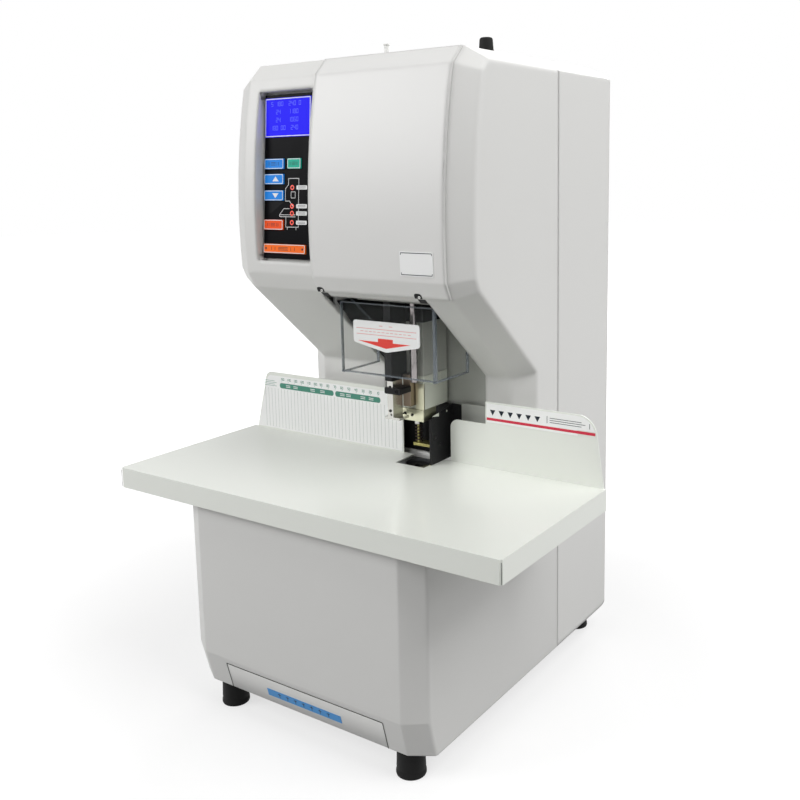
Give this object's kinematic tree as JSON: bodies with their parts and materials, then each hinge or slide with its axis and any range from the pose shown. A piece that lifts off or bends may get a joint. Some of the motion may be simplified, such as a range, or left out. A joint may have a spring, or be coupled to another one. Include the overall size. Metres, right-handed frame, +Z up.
{
  "type": "document riveting machine",
  "caption": "Desk machine that drills a stack of paper and closes it with heated nylon tube; head over a ruled table, base with chip drawer.",
  "frame": {"origin": "on the floor, in the middle of the machine's width and depth", "axes": "+X to the operator's right, +Y to the back, +Z up"},
  "size_m": [0.452, 0.4, 0.66],
  "materials": {
    "head_shell": "fine-textured light warm grey",
    "visor": "smooth light warm grey",
    "name_plate": "blank white plate",
    "base_shell": "fine-textured light warm grey",
    "rear_cover": "fine-textured light warm grey",
    "bottom_plate": "grey zinc-primed sheet",
    "feet": "black rubber",
    "foot_screws": "zinc-plated",
    "table": "semi-matt off-white powder coat",
    "ruler_strip": "printed film",
    "limit_strip": "printed film",
    "table_brackets": "grey",
    "die_plate": "dark oxidised steel",
    "chip_chute": "black",
    "tool_housing": "satin black",
    "cross_strip": "zinc-plated",
    "drill_spring": "tempered brown",
    "guard_screws": "zinc-plated",
    "panel_plate": "glossy black",
    "display": "blue liquid crystal display",
    "circuit_board": "green laminate",
    "column_frame": "grey",
    "guide_rods": "ground",
    "lift_motor": "black",
    "feed_hose": "white fluoropolymer",
    "tube_bush": "light grey",
    "spare_holder": "black",
    "transformer": "varnished core",
    "fan": "black",
    "power_inlet": "black",
    "cover_screws": "zinc-plated",
    "ram": "light grey",
    "carriage": "milled",
    "tool_block": "black",
    "guide_tube": "polished",
    "press_foot": "ground",
    "foot_strap": "black",
    "heater": "heat-tinted copper alloy",
    "drill_bracket": "zinc-plated",
    "drill_motor": "plain",
    "drill_belt": "black",
    "spindle": "turned",
    "hollow_drill": "ground",
    "motor_pulley": "turned",
    "lead_screw": "rolled thread",
    "guard": "clear plastic sheet",
    "pointer_plate": "white printed plate",
    "drawer": "light warm grey",
    "drawer_strip": "blue film",
    "key_drill": "blue",
    "key_heat": "green",
    "key_up": "blue",
    "key_down": "blue",
    "key_rivet": "orange-red",
    "key_start": "orange",
    "rocker": "black",
    "drill_pad": "dark nylon",
    "nylon_tube": "natural nylon",
    "holder_cap": "black",
    "fan_rotor": "black"
  },
  "bodies": {
    "machine": {"head_shell": "head_shell", "visor": "visor", "name_plate": "name_plate", "base_shell": "base_shell", "rear_cover": "rear_cover", "bottom_plate": "bottom_plate", "feet": "feet", "foot_screws": "foot_screws", "table": "table", "ruler_strip": "ruler_strip", "limit_strip": "limit_strip", "table_brackets": "table_brackets", "die_plate": "die_plate", "chip_chute": "chip_chute", "tool_housing": "tool_housing", "cross_strip": "cross_strip", "drill_spring": "drill_spring", "guard_screws": "guard_screws", "panel_plate": "panel_plate", "display": "display", "circuit_board": "circuit_board", "column_frame": "column_frame", "guide_rods": "guide_rods", "lift_motor": "lift_motor", "feed_hose": "feed_hose", "tube_bush": "tube_bush", "spare_holder": "spare_holder", "transformer": "transformer", "fan": "fan", "power_inlet": "power_inlet", "cover_screws": "cover_screws"},
    "ram_head": {"ram": "ram", "carriage": "carriage", "tool_block": "tool_block", "guide_tube": "guide_tube", "press_foot": "press_foot", "foot_strap": "foot_strap", "heater": "heater", "drill_bracket": "drill_bracket", "drill_motor": "drill_motor", "drill_belt": "drill_belt"},
    "drill": {"spindle": "spindle", "hollow_drill": "hollow_drill"},
    "drive_pulley": {"motor_pulley": "motor_pulley"},
    "lift_screw": {"lead_screw": "lead_screw"},
    "guard_frame": {"guard": "guard", "pointer_plate": "pointer_plate"},
    "chip_drawer": {"drawer": "drawer", "drawer_strip": "drawer_strip"},
    "drill_key": {"key_drill": "key_drill"},
    "heat_key": {"key_heat": "key_heat"},
    "up_key": {"key_up": "key_up"},
    "down_key": {"key_down": "key_down"},
    "rivet_key": {"key_rivet": "key_rivet"},
    "start_key": {"key_start": "key_start"},
    "switch_rocker": {"rocker": "rocker"},
    "pad": {"drill_pad": "drill_pad"},
    "tube": {"nylon_tube": "nylon_tube"},
    "cap": {"holder_cap": "holder_cap"},
    "fan_wheel": {"fan_rotor": "fan_rotor"}
  },
  "joints": [
    {"name": "ram_slide", "type": "slide", "parent": "machine", "child": "ram_head", "axis": [0, 0, -1], "range_m": [0, 0.044]},
    {"name": "lead_turn", "type": "hinge", "parent": "machine", "child": "lift_screw", "pos_m": [0.025, 0.036, 0.392], "axis": [0, 0, 1], "range_deg": [0, 3170]},
    {"name": "drill_spin", "type": "hinge", "parent": "ram_head", "child": "drill", "pos_m": [0.025, -0.024, 0.392], "axis": [0, 0, 1], "continuous": true},
    {"name": "pulley_spin", "type": "hinge", "parent": "ram_head", "child": "drive_pulley", "pos_m": [0.059, -0.024, 0.492], "axis": [0, 0, 1], "continuous": true},
    {"name": "guard_hinge", "type": "hinge", "parent": "machine", "child": "guard_frame", "pos_m": [0.025, -0.065, 0.418], "axis": [-1, 0, 0], "range_deg": [0, 65]},
    {"name": "drawer_slide", "type": "slide", "parent": "machine", "child": "chip_drawer", "axis": [0, -1, 0], "range_m": [0, 0.15]},
    {"name": "drill_press", "type": "slide", "parent": "machine", "child": "drill_key", "axis": [0, 0.9969, -0.0787], "range_m": [0, 0.0006], "stiffness_N_per_m": 1000},
    {"name": "heat_press", "type": "slide", "parent": "machine", "child": "heat_key", "axis": [0, 0.9969, -0.0787], "range_m": [0, 0.0006], "stiffness_N_per_m": 1000},
    {"name": "up_press", "type": "slide", "parent": "machine", "child": "up_key", "axis": [0, 0.9969, -0.0787], "range_m": [0, 0.0006], "stiffness_N_per_m": 1000},
    {"name": "down_press", "type": "slide", "parent": "machine", "child": "down_key", "axis": [0, 0.9969, -0.0787], "range_m": [0, 0.0006], "stiffness_N_per_m": 1000},
    {"name": "rivet_press", "type": "slide", "parent": "machine", "child": "rivet_key", "axis": [0, 0.9969, -0.0787], "range_m": [0, 0.0006], "stiffness_N_per_m": 1000},
    {"name": "start_press", "type": "slide", "parent": "machine", "child": "start_key", "axis": [0, 0.9969, -0.0787], "range_m": [0, 0.0006], "stiffness_N_per_m": 1000},
    {"name": "rocker_tilt", "type": "hinge", "parent": "machine", "child": "switch_rocker", "pos_m": [-0.039, 0.193, 0.092], "axis": [1, 0, 0], "range_deg": [0, 24]},
    {"name": "pad_turn", "type": "hinge", "parent": "machine", "child": "pad", "pos_m": [0.025, -0.024, 0.232], "axis": [0, 0, 1], "continuous": true},
    {"name": "tube_lift", "type": "slide", "parent": "machine", "child": "tube", "axis": [0, 0, 1], "range_m": [0, 0.02]},
    {"name": "cap_lift", "type": "slide", "parent": "machine", "child": "cap", "axis": [0, 0, 1], "range_m": [0, 0.024]},
    {"name": "fan_spin", "type": "hinge", "parent": "machine", "child": "fan_wheel", "pos_m": [0, 0.185, 0.322], "axis": [0, 1, 0], "continuous": true}
  ],
  "couplings": [
    {"joint": "lead_turn", "follows": "ram_slide", "rad_per_m": 1256.6},
    {"joint": "pulley_spin", "follows": "drill_spin", "ratio": 1.2727}
  ]
}
